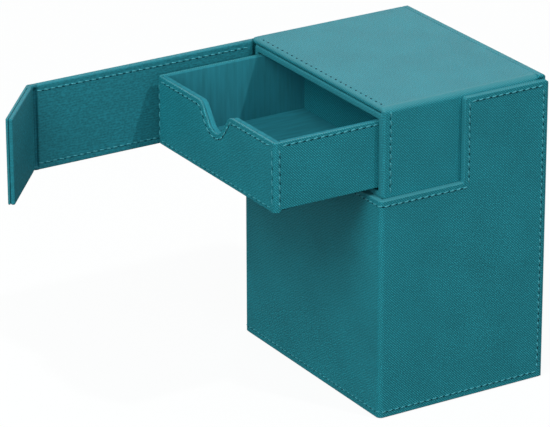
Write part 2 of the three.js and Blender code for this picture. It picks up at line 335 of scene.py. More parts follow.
def shell(columns, levels, sheets, rise=None, second=None):
    """A mesh of two like grids of places in millimetres, closed along their border.
    columns and levels are its flat coordinates, which run on by rise over the border, or stay as they are.
    second tells at which u the first grid takes the second material."""
    bm = bmesh.new()
    grids = [[[bm.verts.new(Vector(point) * MM) for point in line] for line in sheet] for sheet in sheets]
    grain = bm.loops.layers.uv.new("grain")

    def face(corners, flats):
        made = bm.faces.new(corners)
        for loop, flat in zip(made.loops, flats):
            loop[grain].uv = flat
        return made

    last_level = len(levels) - 1
    last_column = len(columns) - 1
    for grid in grids:
        for i in range(last_level):
            for j in range(last_column):
                ids = [(i, j), (i, j + 1), (i + 1, j + 1), (i + 1, j)]
                if grid is grids[1]:
                    ids.reverse()
                made = face([grid[a][b] for a, b in ids], [(columns[b], levels[a]) for a, b in ids])
                if second and grid is grids[0]:
                    made.material_index = int(second((columns[j] + columns[j + 1]) / 2))
    border = [(0, j) for j in range(last_column)]
    border += [(i, last_column) for i in range(last_level)]
    border += [(last_level, j) for j in range(last_column, 0, -1)]
    border += [(i, 0) for i in range(last_level, 0, -1)]
    for (a, b), (c, d) in zip(border, border[1:] + border[:1]):
        here = (columns[b], levels[a])
        ahead = (columns[d], levels[c])
        flats = [here] * 4
        if rise is not None:
            flats = [here, (here[0], here[1] + rise), (ahead[0], ahead[1] + rise), ahead]
        face([grids[0][a][b], grids[1][a][b], grids[1][c][d], grids[0][c][d]], flats)
    return bm


def box_outline(low_u, low_v, high_u, high_v, radius):
    return fillet([(low_u, low_v), (high_u, low_v), (high_u, high_v), (low_u, high_v)], radius)


def steps_between(start, end, count):
    return [start + (end - start) * k / count for k in range(count + 1)]


# Where flat boards lie. Each place turns u, v and depth into x, y and z

def bent(along, depth, half_width, radius):
    """Across a bend: how far out a point lies, and how far behind the first face. The inside is mitred."""
    flat = half_width - radius
    arc = radius * math.pi / 2
    inner = half_width + depth
    if along <= flat:
        return min(along, inner), -depth
    if along >= flat + arc:
        return inner, max(-depth, radius + along - flat - arc)
    reach = radius + depth
    if reach <= 0:
        return inner, -depth
    angle = (along - flat) / radius
    return flat + reach * math.sin(angle), radius - reach * math.cos(angle)


def band_place(half_width, front_y, radius):
    """A band round the front and both sides: u is 0 at the middle of the front and grows to the right."""

    def place(u, v, depth):
        out, behind = bent(abs(u), depth, half_width, radius)
        return (math.copysign(out, u), front_y + behind, v)

    return place


def bend_u(half_width, radius, fall):
    """The u of a place on a side, fall behind the first face."""
    return half_width - radius + radius * math.pi / 2 + fall - radius


def bend_cuts(half_width, radius, sides=(1, -1), count=8):
    flat = half_width - radius
    arc = radius * math.pi / 2
    return [side * u for side in sides for u in steps_between(flat, flat + arc, count)]


def lid_place(half_width, top_z, radii):
    """A skin over the lid: u is 0 along the middle of the top and runs down the right side, v is y."""

    def place(u, v, depth):
        out, below = bent(abs(u), depth, half_width, radii[1 if u >= 0 else -1])
        return (math.copysign(out, u), v, top_z - below)

    return place


def facing_front(y):
    return lambda u, v, depth: (u, y - depth, v)


def facing_back(y):
    return lambda u, v, depth: (-u, y + depth, v)


def facing_up(z):
    return lambda u, v, depth: (u, v, z + depth)


def facing_right(x):
    return lambda u, v, depth: (x + depth, u, v)


def facing_left(x):
    return lambda u, v, depth: (x - depth, -u, v)


def smooth_step(t):
    t = max(0, min(1, t))
    return t * t * (3 - 2 * t)


def hinge_place(axis, offset, turn):
    """Beside a hinge axis: u runs away from it, and depth goes inward from the offset.
    turn gives the angle turned at u."""

    def place(u, v, depth):
        angle = turn(u)
        inward = offset + depth
        return (
            axis.x + inward * math.cos(angle) + u * math.sin(angle),
            axis.y + inward * math.sin(angle) - u * math.cos(angle),
            v,
        )

    return place


def flap_place(offset):
    return hinge_place(FLAP_AXIS, offset, lambda u: 0)


def tip_place(offset):
    return hinge_place(TIP_AXIS, offset, lambda u: TIP_ANGLE)


# Materials

def colour(rgb, factor=1, pale=0):
    """Linear RGBA of an sRGB colour of 0 to 255, with its brightness changed and then blended to white."""
    made = []
    for channel in rgb:
        value = min(255, channel * factor)
        value = (value + (255 - value) * pale) / 255
        made.append(value / 12.92 if value <= 0.04045 else ((value + 0.055) / 1.055) ** 2.4)
    return (*made, 1)


TEAL = (17, 85, 94)
TEAL_INSIDE = (33, 112, 124)
TEAL_FIBRE = (42, 120, 133)
# A darker lining colour for the creases' grooves: painted shade
CREASE_SHADE_TEAL = (19, 94, 107)
# Pale teal of the painted highlight on rounded edges
EDGE_HIGHLIGHT_TEAL = (62, 130, 139)
# Two brightnesses of one thread: the paler for rows on the sides, where the thread catches the light (painted
# highlight), the darker for the sunk rows
LIT_THREAD = (71, 148, 159)
SUNK_THREAD = (26, 108, 120)
HOLE_AND_SHADOW = (6, 46, 55)
RIB_CONTRAST = 0.95
RIB_TURN = 2 * math.pi / (0.808 * math.sqrt(2))


class Nodes:
    """A short way to add and link the shader nodes of a material or world."""

    def __init__(self, owner):
        owner.use_nodes = True
        self.owner = owner
        self.tree = owner.node_tree
        self.tree.nodes.clear()

    def add(self, kind, inputs=None, **settings):
        """Adds a node and gives its outputs."""
        node = self.tree.nodes.new("ShaderNode" + kind)
        for key, value in settings.items():
            setattr(node, key, value)
        for key, value in (inputs or {}).items():
            if isinstance(value, bpy.types.NodeSocket):
                self.tree.links.new(value, node.inputs[key])
            else:
                node.inputs[key].default_value = value
        return node.outputs

    def maths(self, operation, first, second=0.0):
        return self.add("Math", {0: first, 1: second}, operation=operation)[0]

    def plus(self, first, second):
        return self.maths("ADD", first, second)

    def scaled(self, value, factor):
        return self.maths("MULTIPLY", value, factor)

    def blend(self, share, first, second):
        """A colour blend. Mix nodes keep their colours in inputs 6 and 7, and give one in output 2."""
        return self.add("Mix", {0: share, 6: first, 7: second}, data_type="RGBA")[2]

    def shades(self, share, rgb, first, second):
        """A blend of two brightnesses of one colour."""
        return self.blend(share, colour(rgb, first), colour(rgb, second))

    def ramp(self, value, low_value, high_value, low_out=0.0, high_out=1.0):
        limits = {0: value, 1: low_value, 2: high_value, 3: low_out, 4: high_out}
        return self.add("MapRange", limits)[0]

    def grain(self):
        """The flat coordinates of a cover, in millimetres."""
        return self.add("UVMap", uv_map="grain")[0]

    def split(self, place):
        return self.add("SeparateXYZ", {0: place})[:2]

    def stretch(self, place, scale):
        return self.add("Mapping", {"Vector": place, "Scale": scale})[0]

    def solid(self):
        """The piece's own coordinates, in metres."""
        return self.add("TexCoord")["Object"]

    def noise(self, place, scale, detail=2.0):
        return self.add("TexNoise", {"Vector": place, "Scale": scale, "Detail": detail})[0]

    def bump(self, height, strength, depth):
        """A relief. The depth is in millimetres."""
        return self.add("Bump", {"Height": height, "Strength": strength, "Distance": depth * MM})[0]

    def edge_highlighted(self, share, base, pale):
        """Painted highlight: the base, blended with the pale colour by a share of the mesh's edge layer."""
        edge = self.add("Attribute", attribute_name="edge")["Fac"]
        return self.blend(self.scaled(edge, share), base, pale)

    def output(self, shader, kind="Material"):
        self.add("Output" + kind, {"Surface": shader})
        return self.owner

    def surface(self, base, roughness, specular, **more):
        inputs = {"Base Color": base, "Roughness": roughness, "Specular IOR Level": specular}
        inputs.update((key.replace("_", " "), value) for key, value in more.items())
        return self.output(self.add("BsdfPrincipled", inputs)[0])


def new_material(name):
    return Nodes(bpy.data.materials.new(name))


def leatherette(name, rgb):
    """Embossed leatherette: fine diagonal ribs broken into short steps, with a soft mottle, a painted sheen
    on the light ribs and a painted highlight on rounded edges.
    """
    nodes = new_material(name)
    place = nodes.grain()
    u, v = nodes.split(place)
    waver = nodes.scaled(nodes.noise(place, scale=0.35), 1.2)
    rib = nodes.maths("SINE", nodes.plus(nodes.scaled(nodes.plus(u, v), RIB_TURN), waver))
    along = nodes.maths("SUBTRACT", nodes.scaled(u, 0.54), nodes.scaled(v, 0.8))
    jitter = nodes.scaled(nodes.noise(place, scale=0.7, detail=1.0), 9.0)
    step = nodes.maths("SINE", nodes.plus(nodes.scaled(along, 2 * math.pi), jitter))
    lines = nodes.plus(nodes.scaled(rib, 0.5), nodes.scaled(step, 0.17))
    pattern = nodes.plus(lines, nodes.scaled(nodes.scaled(rib, step), 0.45))
    fine = nodes.noise(place, scale=2.4, detail=4.0)
    broad = nodes.noise(place, scale=0.045, detail=3.0)
    height = nodes.plus(pattern, nodes.scaled(fine, 0.5))
    dark = colour(rgb, 1 - RIB_CONTRAST)
    # The light ribs are blended a little towards white: a painted sheen on the ribs
    light = colour(rgb, 1 + RIB_CONTRAST, pale=0.08)
    base = nodes.blend(nodes.ramp(height, -0.9, 1.4), dark, light)
    mottled = nodes.blend(nodes.ramp(broad, 0.35, 0.65, 0.0, 0.16), base, colour(rgb, 0.9))
    # Painted highlight: rounded edges blended towards a pale teal
    edge_highlighted = nodes.edge_highlighted(0.42, mottled, colour(EDGE_HIGHLIGHT_TEAL))
    rough = nodes.ramp(fine, 0.3, 0.7, 0.51, 0.63)
    return nodes.surface(edge_highlighted, rough, specular=0.18, Normal=nodes.bump(height, strength=1.0, depth=0.06))


def fine_leather(name, rgb):
    """The flap's inner face: fine, slightly horizontal leather grain, with a painted highlight on rounded
    edges.
    """
    nodes = new_material(name)
    place = nodes.grain()
    bend_highlight = nodes.stretch(place, (0.75, 1.25, 1.0))
    cells = nodes.add("TexVoronoi", {"Vector": bend_highlight, "Scale": 1.1})["Distance"]
    fine = nodes.noise(bend_highlight, scale=1.6, detail=5.0)
    broad = nodes.noise(place, scale=0.05, detail=3.0)
    waver = nodes.scaled(nodes.noise(bend_highlight, scale=0.25), 9.0)
    streaks = nodes.plus(nodes.scaled(nodes.split(place)[1], 5.1), waver)
    lines = nodes.scaled(nodes.maths("SINE", streaks), 0.14)
    height = nodes.plus(nodes.plus(cells, fine), lines)
    base = nodes.shades(nodes.ramp(height, 0.4, 1.4), rgb, 0.82, 1.13)
    mottled = nodes.blend(nodes.ramp(broad, 0.35, 0.65, 0.0, 0.2), base, colour(rgb, 0.9))
    # Painted highlight: rounded edges blended towards a paler teal
    edge_highlighted = nodes.edge_highlighted(0.2, mottled, colour(rgb, 1.25))
    bump = nodes.bump(height, strength=0.4, depth=0.05)
    return nodes.surface(edge_highlighted, roughness=0.62, specular=0.18, Normal=bump)


def microfibre(name, rgb):
    """Brushed lining: a short nap with faint upright streaks."""
    nodes = new_material(name)
    place = nodes.grain()
    streaks = nodes.noise(nodes.stretch(place, (0.5, 0.05, 0.5)), scale=1.0, detail=3.0)
    nap = nodes.noise(place, scale=4.0, detail=4.0)
    base = nodes.shades(nodes.ramp(streaks, 0.3, 0.7), rgb, 0.93, 1.07)
    napped = nodes.blend(nodes.ramp(nap, 0.3, 0.7, 0.0, 0.3), base, colour(rgb, 1.1))
    bump = nodes.bump(nap, strength=0.3, depth=0.06)
    return nodes.surface(napped, roughness=0.95, specular=0.1, Normal=bump, Sheen_Weight=0.1,
                         Sheen_Roughness=0.5, Sheen_Tint=colour(rgb, 1.3))


def sewing_thread(name, rgb):
    """Twisted polyester thread."""
    nodes = new_material(name)
    fine = nodes.ramp(nodes.noise(nodes.solid(), scale=2600.0), 0.3, 0.7)
    return nodes.surface(nodes.shades(fine, rgb, 0.9, 1.12), roughness=0.6, specular=0.2)


def needle_hole_and_shadow(name, rgb):
    """The dark dimple where the thread goes through, which also serves as the thread's painted shadow."""
    nodes = new_material(name)
    fine = nodes.noise(nodes.solid(), scale=900.0)
    return nodes.surface(nodes.shades(fine, rgb, 0.85, 1.15), roughness=0.9, specular=0.1)


def nickel(name):
    """Plated magnet metal."""
    nodes = new_material(name)
    fine = nodes.noise(nodes.solid(), scale=1200.0, detail=4.0)
    base = nodes.blend(fine, (0.5, 0.51, 0.52, 1), (0.62, 0.62, 0.63, 1))
    return nodes.surface(base, nodes.ramp(fine, 0.3, 0.7, 0.25, 0.4), specular=0.5, Metallic=1.0)


LEATHER = leatherette("leatherette_teal", TEAL)
FLAP_LEATHER = fine_leather("flap_leather_teal", TEAL_INSIDE)
CREASE_SHADE_LEATHER = fine_leather("crease_shade_leather_teal", CREASE_SHADE_TEAL)
FIBRE = microfibre("microfibre_teal", TEAL_FIBRE)
LIT_THREAD_MATERIAL = sewing_thread("thread_teal_lit", LIT_THREAD)
SUNK_THREAD_MATERIAL = sewing_thread("thread_teal_sunk", SUNK_THREAD)
HOLE_AND_SHADOW_MATERIAL = needle_hole_and_shadow("needle_hole_and_shadow_dark", HOLE_AND_SHADOW)
NICKEL = nickel("magnet_nickel")


def dress(piece, material, body, slot, *nodes):
    piece.data.materials.append(material)
    if nodes:
        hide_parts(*nodes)
    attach(piece, body)


def repaint(node, material):
    """A carried-over CAD node takes a material, with its own flat coordinates for the grain."""
    piece = frame["nodes"][node]
    piece.data.materials.clear()
    piece.data.materials.append(material)
    layer = piece.data.uv_layers.get("grain") or piece.data.uv_layers.new(name="grain")
    for polygon in piece.data.polygons:
        normal = polygon.normal
        for index in polygon.loop_indices:
            x, y, z = piece.data.vertices[piece.data.loops[index].vertex_index].co / MM
            level = abs(normal.z) > STEEP
            layer.data[index].uv = (x, y) if level else (y if abs(normal.x) > abs(normal.y) else x, z)


# Seams

def resample(path, pitch):
    """Points and directions at even steps along an open path, and the length of a step."""
    lengths = [0]
    for a, b in zip(path, path[1:]):
        lengths.append(lengths[-1] + (b - a).length)
    count = max(1, round(lengths[-1] / pitch))
    made = []
    for k in range(count):
        target = lengths[-1] * (k + 0.5) / count
        i = next(n for n in range(1, len(lengths)) if lengths[n] >= target - TINY)
        share = (target - lengths[i - 1]) / max(TINY, lengths[i] - lengths[i - 1])
        point = path[i - 1].lerp(path[i], share)
        made.append((point, (path[i] - path[i - 1]).normalized()))
    return made, lengths[-1] / count


def row(place, path, pitch, share=1, pressed=None, outward=1):
    """A row of stitches along a path in u and v. share is its part of the usual thickness, and pressed is how
    far the thread is pressed in. outward is -1 where depth grows inward."""
    if pressed is None:
        pressed = (1 - share) * FINE_SINK
    return place, path, pitch, share, pressed, outward


def add_strand(bm, place, centre, heading, outward, length, width, sections, sink=0.0):
    """A closed round strand along a face. Each section is (place along it, width share, lift in mm)."""
    aside = Vector((-heading.y, heading.x))
    rings = []
    for t, share, lift in sections:
        ring = []
        for k in range(STRAND_SIDES):
            angle = 2 * math.pi * k / STRAND_SIDES
            flat = centre + heading * (t * length) + aside * (math.cos(angle) * width / 2 * share)
            height = lift + math.sin(angle) * width * STRAND_HEIGHT * share
            ring.append(bm.verts.new(Vector(place(flat.x, flat.y, outward * (height - sink))) * MM))
        rings.append(ring)
    for ring, following in zip(rings, rings[1:]):
        for k in range(STRAND_SIDES):
            j = (k + 1) % STRAND_SIDES
            bm.faces.new((ring[k], ring[j], following[j], following[k]))
    bm.faces.new(list(reversed(rings[0])))
    bm.faces.new(rings[-1])


def both_ways(half):
    """The sections of half a strand, from one end to the middle, and then on to the other end."""
    return half + [(-t, share, lift) for t, share, lift in reversed(half[:-1])]


THREAD_SECTIONS = both_ways([(-0.5, 0.4, -0.2), (-0.38, 0.9, STITCH_RISE / 2), (0, 1, STITCH_RISE)])
HOLE_SECTIONS = both_ways([(-0.5, 0.35, -0.08), (-0.3, 0.9, -0.13), (0, 1, -0.12)])


def seam(name, rows, body, slot="leatherette", sunk=False):
    """Rows of stitches on one body.
    The dark dimples lie below the thread, or behind it where the row stands upright, where the thread's
    shadow falls: needle holes and painted shadow.
    Sunk threads are pulled tight into the leather and take a darker copy of the thread colour; the other rows
    take a paler, lit copy: painted highlight."""
    threads = bmesh.new()
    holes_and_shadows = bmesh.new()
    for place, path, pitch, share, pressed, outward in rows:
        sink = SUNK_DEPTH if sunk else pressed
        width = STITCH_WIDTH * share
        marks, step = resample([Vector(p) for p in path], pitch)
        for point, along in marks:
            length = step * STITCH_SHARE * draw.uniform(1 - LENGTH_SPREAD, 1 + LENGTH_SPREAD)
            heading = Matrix.Rotation(STITCH_SLANT + draw.uniform(-TURN_SPREAD, TURN_SPREAD), 2) @ along
            add_strand(threads, place, point, heading, outward, length, width, THREAD_SECTIONS, sink)
        for (a, along_a), (b, along_b) in zip(marks, marks[1:]):
            along = (along_a + along_b).normalized()
            below = Vector((along.y, -along.x))
            if below.y > UPRIGHT_LIMIT or (abs(below.y) <= UPRIGHT_LIMIT and below.x < 0):
                below = -below
            # Moved below or behind the thread, where its shadow falls: painted shadow
            centre = (a + b) / 2 + below * HOLE_SHADOW_DROP
            heading = Matrix.Rotation(STITCH_SLANT, 2) @ along
            long, wide = (SUNK_HOLE_LONG, SUNK_HOLE_WIDE) if sunk else (step * HOLE_SHARE, HOLE_WIDTH * share)
            add_strand(holes_and_shadows, place, centre, heading, outward, long, wide, HOLE_SECTIONS)
    # The sunk rows take the darker thread, the others the paler one with painted highlight
    thread_material = SUNK_THREAD_MATERIAL if sunk else LIT_THREAD_MATERIAL
    for label, bm, material in (("stitches", threads, thread_material), ("holes", holes_and_shadows, HOLE_AND_SHADOW_MATERIAL)):
        piece = finish_mesh(f"{name}_{label}", bm)
        piece.modifiers.clear()
        dress(piece, material, body, slot)


# Case

CASE_PLACE = band_place(OUTER_X, FRONT_Y, WRAP_RADIUS)
CASE_STEP_U = bend_u(OUTER_X, WRAP_RADIUS, STEP_Y - FRONT_Y)
CASE_END_U = bend_u(OUTER_X, WRAP_RADIUS, BACK_Y - SPINE_SKIN - FRONT_Y)


def make_case_wrap():
    outline = fillet([
        (-CASE_END_U, 0), (CASE_END_U, 0), (CASE_END_U, EAR_Z), (CASE_STEP_U, EAR_Z, 1.2),
        (CASE_STEP_U, RIM_Z), (-CASE_STEP_U, RIM_Z), (-CASE_STEP_U, EAR_Z, 1.2), (-CASE_END_U, EAR_Z),
    ], radius=0.6)
    cuts = bend_cuts(OUTER_X, WRAP_RADIUS)

    def edge_highlight(point, at_edge):
        """Painted highlight on the edges: palest along the rim, which faces up, less on top of the ears, and
        least elsewhere.
        """
        near = 0.5
        on_rim = abs(point.y - RIM_Z) < near and abs(point.x) < CASE_STEP_U - near
        on_ear = point.y > EAR_Z - near
        return (1.8 if on_rim else 1.0 if on_ear else 0.55) * at_edge

    piece = slab("case_wrap", outline, WRAP_THICK, CASE_PLACE, cuts=cuts, back_round=0.35, edge_highlight=edge_highlight)
    dress(piece, LEATHER, "case", "leatherette", "front_panel", "left_panel", "right_panel")
    rim = RIM_Z - 2.3
    ear = EAR_Z - 2.0
    foot = 2.9
    end = CASE_END_U - 1.9
    step = CASE_STEP_U + 2.3
    paths = [
        ([(-step, rim), (step, rim)], 1),
        ([(-OUTER_X, foot), (OUTER_X, foot)], FINE_SHARE),
        ([(OUTER_X, foot), (end, foot)], SLIM_SHARE),
        ([(-end, foot), (-OUTER_X, foot)], SLIM_SHARE),
    ]
    for side in (-1, 1):
        paths += [
            ([(side * step, rim + 1.2), (side * step, ear)], SLIM_SHARE),
            ([(side * (step + 0.6), ear), (side * end, ear)], 1),
            ([(side * end, ear - 1.4), (side * end, foot + 1.2)], SLIM_SHARE),
        ]
    seam("case_seam", [row(CASE_PLACE, path, CASE_PITCH, share) for path, share in paths], "case")


def make_case_liner():
    side = OUTER_X - WRAP_THICK - CLEAR
    ring = box_outline(-side, FRONT_Y + WRAP_THICK + CLEAR, side, WALL_BACK_Y - CLEAR, radius=0.8)
    hole = box_outline(-LINER_X, LINER_FRONT_Y, LINER_X, LINER_BACK_Y, radius=0.8)
    top = RIM_Z - LINER_DROP
    piece = slab("card_liner", ring, top - BASE_Z, facing_up(top), holes=[hole], round_edge=0.15,
                 back_round=0.0)
    dress(piece, FIBRE, "case", "microfibre", "liner_front", "liner_back", "liner_left", "liner_right")


def make_spine():
    outline = box_outline(-OUTER_X, 0, OUTER_X, SPINE_TOP_Z, radius=0.5)
    piece = slab("spine_skin", outline, SPINE_SKIN - SKIN_GAP, facing_back(BACK_Y), round_edge=0.26)
    dress(piece, LEATHER, "case", "leatherette", "spine_cover")
    end = OUTER_X - 2.8
    foot = 2.7
    paths = [[(-end, foot), (end, foot)]]
    paths += [[(side * end, foot + 1.7), (side * end, SPINE_TOP_Z - 3)] for side in (-1, 1)]
    seam("spine_seam", [row(facing_back(BACK_Y), path, CASE_PITCH) for path in paths], "case")


# Lid

LID_PLACE = lid_place(LID_X, TOP_Z, LID_RADII)
LID_ENDS = {side: bend_u(LID_X, radius, TOP_Z - LID_BOTTOM_Z) for side, radius in LID_RADII.items()}


def make_lid_cover():
    right = LID_ENDS[1] + LID_TUCK
    left = -LID_ENDS[-1] - LID_TUCK
    setback = LID_FRONT_Y + LID_SETBACK
    side_front = LID_FRONT_Y + LID_SIDE_IN
    side_back = LID_SIDE_BACK_Y - LID_SIDE_SHORT
    corner = LID_X + LID_CORNER_OUT
    outline = fillet([
        (left, setback), (-LID_X - 0.95, setback), (-LID_X + 0.05, LID_FRONT_Y), (LID_X - 4, LID_FRONT_Y),
        (LID_X + 1, side_front), (right, side_front), (right, side_back), (corner, side_back, 0.5),
        (corner, LID_BACK_Y, 0.3), (-LID_X, LID_BACK_Y), (-LID_X, side_back), (left, side_back),
    ], radius=LID_ROUND + 0.05)
    bend = LID_X - LID_RADII[1]
    cuts = bend_cuts(LID_X, LID_RADII[1], (1,)) + bend_cuts(LID_X, LID_RADII[-1], (-1,)) + [bend - 0.7]

    def edge_highlight(point, at_edge):
        """Painted highlight: pale over the right bend, where the lit top turns down to the side, and on edges
        that face up.
        """
        u, _, depth = point
        # Painted highlight over the right bend
        bend_highlight = 2 * smooth_step((u - bend + 0.6) / 0.6) * (1 - smooth_step((u - bend - 1.2) / 2.8))
        upward = 1.9 * (1 - smooth_step((-depth - 0.6) / 0.5))
        return max(bend_highlight, (upward if u < LID_X else 0.2) if at_edge else 0)

    piece = slab("lid_cover", outline, LID_THICK, LID_PLACE, cuts=cuts, round_edge=LID_ROUND, steps=5,
                 back_round=0.4, turned_grain=True, edge_highlight=edge_highlight)
    dress(piece, LEATHER, "lid", "leatherette", "lid_top", "lid_left_side", "lid_right_side")
    front = LID_FRONT_Y + 2.3
    front_row = row(LID_PLACE, [(-LID_X + 2.4, front), (LID_X - 1.6, front + 0.5)], LID_PITCH)
    seam("lid_top_seam", [front_row], "lid", sunk=True)
    behind = LID_FRONT_Y + 3.8
    rows = []
    for side, end in LID_ENDS.items():
        path = [(side * (end - LID_SIDE_ROW), behind), (side * (end - 1), behind)]
        rows.append(row(LID_PLACE, path, LID_PITCH, SLIM_SHARE))
    seam("lid_side_seam", rows, "lid")


def make_sleeve():
    """The drawer's sleeve: its rounded front edge is the frame round the opening."""
    x = LID_X - LID_THICK - CLEAR
    front = LID_FRONT_Y + 0.05
    hole = box_outline(-BAY_X, BAY_FLOOR_Z, BAY_X, BAY_TOP_Z, radius=0.6)
    top = TOP_Z - LID_THICK
    outline = box_outline(-x, LID_BOTTOM_Z - FRAME_TUCK, LID_X - FRAME_IN, top - SLEEVE_GAP, radius=1.2)

    def edge_highlight(point, at_edge):
        """Painted highlight, pale towards the front."""
        return 0.7 * (1 - smooth_step((-point.z - 0.15) / 0.4))

    piece = slab("sleeve_frame", outline, FRAME_DEPTH, facing_front(front), holes=[hole], round_edge=0.7,
                 back_round=0.0, edge_highlight=edge_highlight)
    dress(piece, LEATHER, "lid", "leatherette")
    outline = box_outline(-x, LID_BOTTOM_Z, x, top - 0.05, radius=0.4)
    start = front + FRAME_DEPTH
    piece = slab("drawer_sleeve", outline, SLEEVE_BACK_Y - start, facing_front(start), holes=[hole],
                 round_edge=0.0, back_round=0.0)
    walls = [f"housing_{wall}" for wall in ("floor", "roof", "left", "right")]
    dress(piece, LEATHER, "lid", "leatherette", *walls)


def make_hinge_cover():
    """The spine's leather running on over the rear top edge to the lid."""
    radius = HINGE_BEND
    arc = radius * math.pi / 2
    start = -(TOP_Z - radius - SPINE_TOP_Z) - HINGE_DROP
    end = arc + BACK_Y - radius - LID_BACK_Y + LID_ROUND - 0.15

    def place(u, v, depth):
        if v < 0:
            return (u, BACK_Y + depth, TOP_Z - radius + v)
        if v < arc:
            angle = v / radius
            reach = radius + depth
            return (u, BACK_Y - radius + reach * math.cos(angle), TOP_Z - radius + reach * math.sin(angle))
        return (u, BACK_Y - radius - (v - arc), TOP_Z + depth)

    def ceiling(u):
        """The height of the cover's rounded side at u."""
        side = 1 if u >= 0 else -1
        round_here = HINGE_RADII[side]
        past = max(0, abs(u) - (HINGE_HALVES[side] - round_here))
        return TOP_Z - round_here + math.sqrt(max(0, round_here ** 2 - past ** 2))

    def lip(x, v, depth):
        """How much lower the underside reaches at the right end, down to the ear."""
        return HINGE_LIP if depth and v > arc and x > LID_X - 1 else 0

    levels = steps_between(start, end, 14)
    columns = steps_between(-HINGE_HALVES[-1] + HINGE_RADII[-1], HINGE_HALVES[1] - HINGE_RADII[1], 20)
    bend_steps = 6
    for side, round_here in HINGE_RADII.items():
        flat = HINGE_HALVES[side] - round_here
        turns = [math.pi / 2 * k / bend_steps for k in range(1, bend_steps + 1)]
        bends = [side * (flat + round_here * math.sin(turn)) for turn in turns]
        columns = columns + bends if side > 0 else bends[::-1] + columns
    sheets = []
    for depth, sunk in ((0, 0), (-HINGE_THICK, HINGE_SINK)):
        sheet = []
        for v in levels:
            points = [place(u, v, depth) for u in columns]
            sheet.append([(x, y, min(z, ceiling(x) - sunk) - lip(x, v, depth)) for x, y, z in points])
        sheets.append(sheet)
    bm = shell(columns, levels, sheets, rise=HINGE_THICK)
    piece = finish_mesh("hinge_cover", bm)
    piece.data.materials.append(LEATHER)
    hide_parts("lid_hinge_strip")
    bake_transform(piece)


# Drawer

DRAWER_PLACE = band_place(DRAWER_X, DRAWER_FRONT_Y, DRAWER_RADIUS)
DRAWER_END_U = bend_u(DRAWER_X, DRAWER_RADIUS, DRAWER_BACK_Y - DRAWER_FRONT_Y)
SIDE_FOOT_Z = DRAWER_LOW_Z + SIDE_LIFT
NOTCH_HALF = 14
NOTCH_DEPTH = 11
NOTCH_BOWL = 7
NOTCH_SHOULDER = 4.6


def notch(grow=0.0, steps=8):
    """The finger notch from right to left along the top edge, widened by grow."""
    bowl_z = DRAWER_TOP_Z - NOTCH_DEPTH + NOTCH_BOWL
    shoulder_z = DRAWER_TOP_Z - NOTCH_SHOULDER
    bowl = NOTCH_BOWL + grow
    shoulder = NOTCH_SHOULDER - grow
    apart = math.hypot(NOTCH_HALF, shoulder_z - bowl_z)
    tangent = math.atan2(shoulder_z - bowl_z, NOTCH_HALF) - math.acos((bowl + shoulder) / apart)
    points = []

    def arc(u, z, radius, start, sweep, count):
        for k in range(count + 1):
            angle = start + sweep * k / count
            points.append((u + radius * math.cos(angle), z + radius * math.sin(angle), 0))

    arc(NOTCH_HALF, shoulder_z, shoulder, math.pi / 2, math.pi / 2 + tangent, steps)
    arc(0, bowl_z, bowl, tangent, -math.pi - 2 * tangent, 2 * steps)
    arc(-NOTCH_HALF, shoulder_z, shoulder, -tangent, math.pi / 2 + tangent, steps)
    return points


def make_drawer_wrap():
    """The leather round the front and both sides. The sides' lower edge is higher than the front's."""
    post = bend_u(DRAWER_X, DRAWER_RADIUS, POST_DEPTH)
    ramp = post + POST_RAMP
    small = 0.3
    outline = fillet([
        (-DRAWER_END_U, SIDE_FOOT_Z), (-ramp, SIDE_FOOT_Z, small), (-post, DRAWER_LOW_Z, small),
        (post, DRAWER_LOW_Z, small), (ramp, SIDE_FOOT_Z, small), (DRAWER_END_U, SIDE_FOOT_Z),
        (DRAWER_END_U, DRAWER_TOP_Z), *notch(), (-DRAWER_END_U, DRAWER_TOP_Z),
    ], radius=0.55)

    def edge_highlight(point, at_edge):
        """Painted highlight on the edges, but not along the foot."""
        return float(at_edge and point.y > SIDE_FOOT_Z + 1)

    cuts = bend_cuts(DRAWER_X, DRAWER_RADIUS)
    piece = slab("drawer_wrap", outline, DRAWER_WRAP_THICK, DRAWER_PLACE, cuts=cuts, round_edge=0.35,
                 back_round=0.6, edge_highlight=edge_highlight)
    dress(piece, LEATHER, "drawer", "leatherette", "drawer_front", "drawer_left_side", "drawer_right_side")


